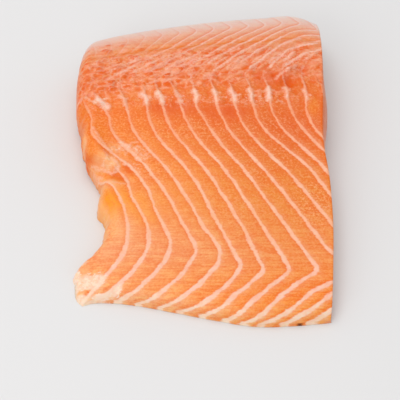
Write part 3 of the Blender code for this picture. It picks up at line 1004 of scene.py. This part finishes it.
def lay_patches(s):
    """Redder, golden and paler patches, broken up by mottling, and painted light and shade.

    Painted shade lies in the pits, under the flap's lip and in the red hollows by the flap, and the
    pale patches carry the painted light along the thin rim at the tail cut.
    """
    # Redder flesh, and painted shade in the hollows by the flap.
    s.tint(RED_FLESH_AND_SHADE, s.value("red"), s.between(s.mottle, 0.25, 0.7, 0.4, 1.0))
    s.tint(PIT_SHADE_ORANGE, s.value("pit"))
    s.tint(GOLDEN, s.value("golden"), s.between(s.grit, 0.40, 0.58, 0.45, 1.0))
    # The pale value also carries the painted rim light at the tail cut.
    s.tint(PALE_PEACH_AND_RIM_LIGHT, s.value("pale"), s.between(s.mottle, 0.3, 0.55, 1.0, 0.7))


def lay_lines(s):
    """The fat lines, with ragged edges; gives their share.

    The flesh beside a line is deeper on its tail side and a little paler on its head side."""
    half = s.times(s.value("line_half_width"), s.between(s.noise("swell"), 0.3, 0.7, 0.7, 1.25))
    teeth, wobble = s.times(s.off_middle("teeth"), TEETH_DEPTH), s.times(s.off_middle("wobble"), WOBBLE_DEPTH)
    distance = s.math("ADD", s.value("line_distance"), s.math("ADD", teeth, wobble))
    distance = s.math("ABSOLUTE", distance)
    inner, outer = s.math("SUBTRACT", half, LINE_SOFT), s.math("ADD", half, LINE_SOFT)
    line = s.between(distance, inner, outer, 1.0, 0.0)
    halo = s.between(distance, 0.0, s.math("ADD", half, LINE_HALO), 1.0, 0.0)
    halo = s.times(halo, s.value("line_strength"), s.fading)
    side = s.value("line_side")
    s.tint(DEEP_ORANGE, halo, s.between(side, 0.0, -0.6, 0.0, 0.6))
    s.lay_fat(halo, s.between(side, 0.0, 0.6, 0.0, 0.24))
    s.lay_fat(line, s.value("line_strength"), s.fading)
    return line


def lay_strands(s):
    """The stray strands of fat, whiter in their middle, and a painted glint by the rolled strip; gives their
    share.
    """
    ragged = s.math("ADD", s.value("strand"), s.times(s.crumbs, STRAND_CRUMBS))
    strand = s.times(s.between(ragged, -0.6, 0.9), s.value("strand_strength"), s.fading)
    s.lay_fat(strand)
    s.tint(KNOT_AND_GLINT_WHITE, s.between(ragged, 0.7, 2.0), 0.55)
    return strand


def lay_loose_fat(s):
    """Pale flecks on frayed flesh and cream fat at the belly; gives the cream's share."""
    flecks = s.between(s.noise("flecks"), 0.50, 0.66)
    s.tint(FRAY_WHITE, flecks, s.value("frayed"))
    cream = s.between(s.times(s.value("belly_fat"), s.math("ADD", flecks, 0.6)), 0.2, 0.85)
    s.tint(FAT_CREAM, cream)
    return cream


def flesh_material():
    """Moist raw salmon: orange blocks of fine fibres between pale fat lines."""
    s = Flesh()
    lay_muscle(s)
    lay_flakes(s)
    lay_patches(s)
    line, strand, cream = lay_lines(s), lay_strands(s), lay_loose_fat(s)
    s.tint(CUT_PINK, s.value("cut_face"), 0.65)
    s.tint(SPOT_BROWN, s.value("spot"))
    s.feed(s.shader.inputs["Base Color"], s.colour)
    fatty = s.math("MAXIMUM", s.math("MAXIMUM", line, strand), cream)
    s.feed(s.shader.inputs["Roughness"], s.between(fatty, 0.0, 1.0, MOIST_ROUGHNESS, FAT_ROUGHNESS))
    bump = s.add("Bump", BUMP_STRENGTH, BUMP_DEPTH)
    s.feed(bump.inputs["Height"], s.math("ADD", s.noise("fine"), s.times(line, 0.6)))
    s.feed(s.shader.inputs["Normal"], bump.outputs[0])
    for socket, setting in FLESH_FINISH.items():
        s.shader.inputs[socket].default_value = setting
    return s.material


def make_fillet():
    """Puts the fillet into the scene, centred on the frame's own middle and standing on the board."""
    points, faces, values = fillet_surface()
    low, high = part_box("fillet")
    middle = (points.max(0) + points.min(0)) / 2
    points = (points - (middle[0], middle[1], 0)) * MILLIMETRE
    points[:, :2] += np.array((low + high) / 2)[:2]
    fillet = put_mesh("fillet_flesh", points, faces, values)
    fillet.data.materials.append(flesh_material())
    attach(fillet, "root")
    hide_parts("fillet")


def make_floor():
    """A wide pale floor under the fillet."""
    corners = FLOOR_REACH * np.array(((-1, -1, 0), (1, -1, 0), (1, 1, 0), (-1, 1, 0)))
    floor = put_mesh("floor", corners, [(0, 1, 2, 3)], {})
    s = Shading("floor_paper")
    s.shader.inputs["Base Color"].default_value = paint(FLOOR_COLOUR, DRY_GLOSS)
    s.shader.inputs["Roughness"].default_value = FLOOR_ROUGHNESS
    floor.data.materials.append(s.material)


def light_scene():
    """Even white light all round, a wide soft lamp high behind the fillet and a weak one before it."""
    world = bpy.data.worlds.new("studio")
    world.use_nodes = True
    sky = world.node_tree.nodes["Background"]
    sky.inputs["Color"].default_value = (1.0, 1.0, 1.0, 1.0)
    sky.inputs["Strength"].default_value = SKY_SHARE * LIGHT_LEVEL
    bpy.context.scene.world = world
    for name, size, watts, place in SOFT_LAMPS:
        lamp = bpy.data.lights.new(name, "AREA")
        lamp.shape = "DISK"
        lamp.size = size
        lamp.energy = watts * LIGHT_LEVEL
        softbox = put(name, lamp)
        softbox.location = place
        softbox.rotation_euler = (-Vector(place)).to_track_quat("-Z", "Y").to_euler()
    bpy.context.scene.view_settings.view_transform = "Standard"


# The camera's tilt from straight down, its distance from the place on the floor that it looks at,
# and that place, in metres; the lens and the sensor in mm.
VIEW_TILT, VIEW_DISTANCE, LOOKED_AT = math.radians(39.0), 0.7045, Vector((-0.0007, -0.0275, 0.0))
LENS, SENSOR = 110.4, 36.0


def place_camera():
    """Looks down along the fillet from beyond the belly edge."""
    camera = bpy.data.cameras.new("camera")
    camera.lens = LENS
    camera.sensor_width = SENSOR
    viewer = put("camera", camera)
    backwards = Vector((0.0, -math.sin(VIEW_TILT), math.cos(VIEW_TILT)))
    viewer.location = LOOKED_AT + VIEW_DISTANCE * backwards
    viewer.rotation_euler = (VIEW_TILT, 0.0, 0.0)
    bpy.context.scene.camera = viewer


make_fillet()
make_floor()
light_scene()
place_camera()
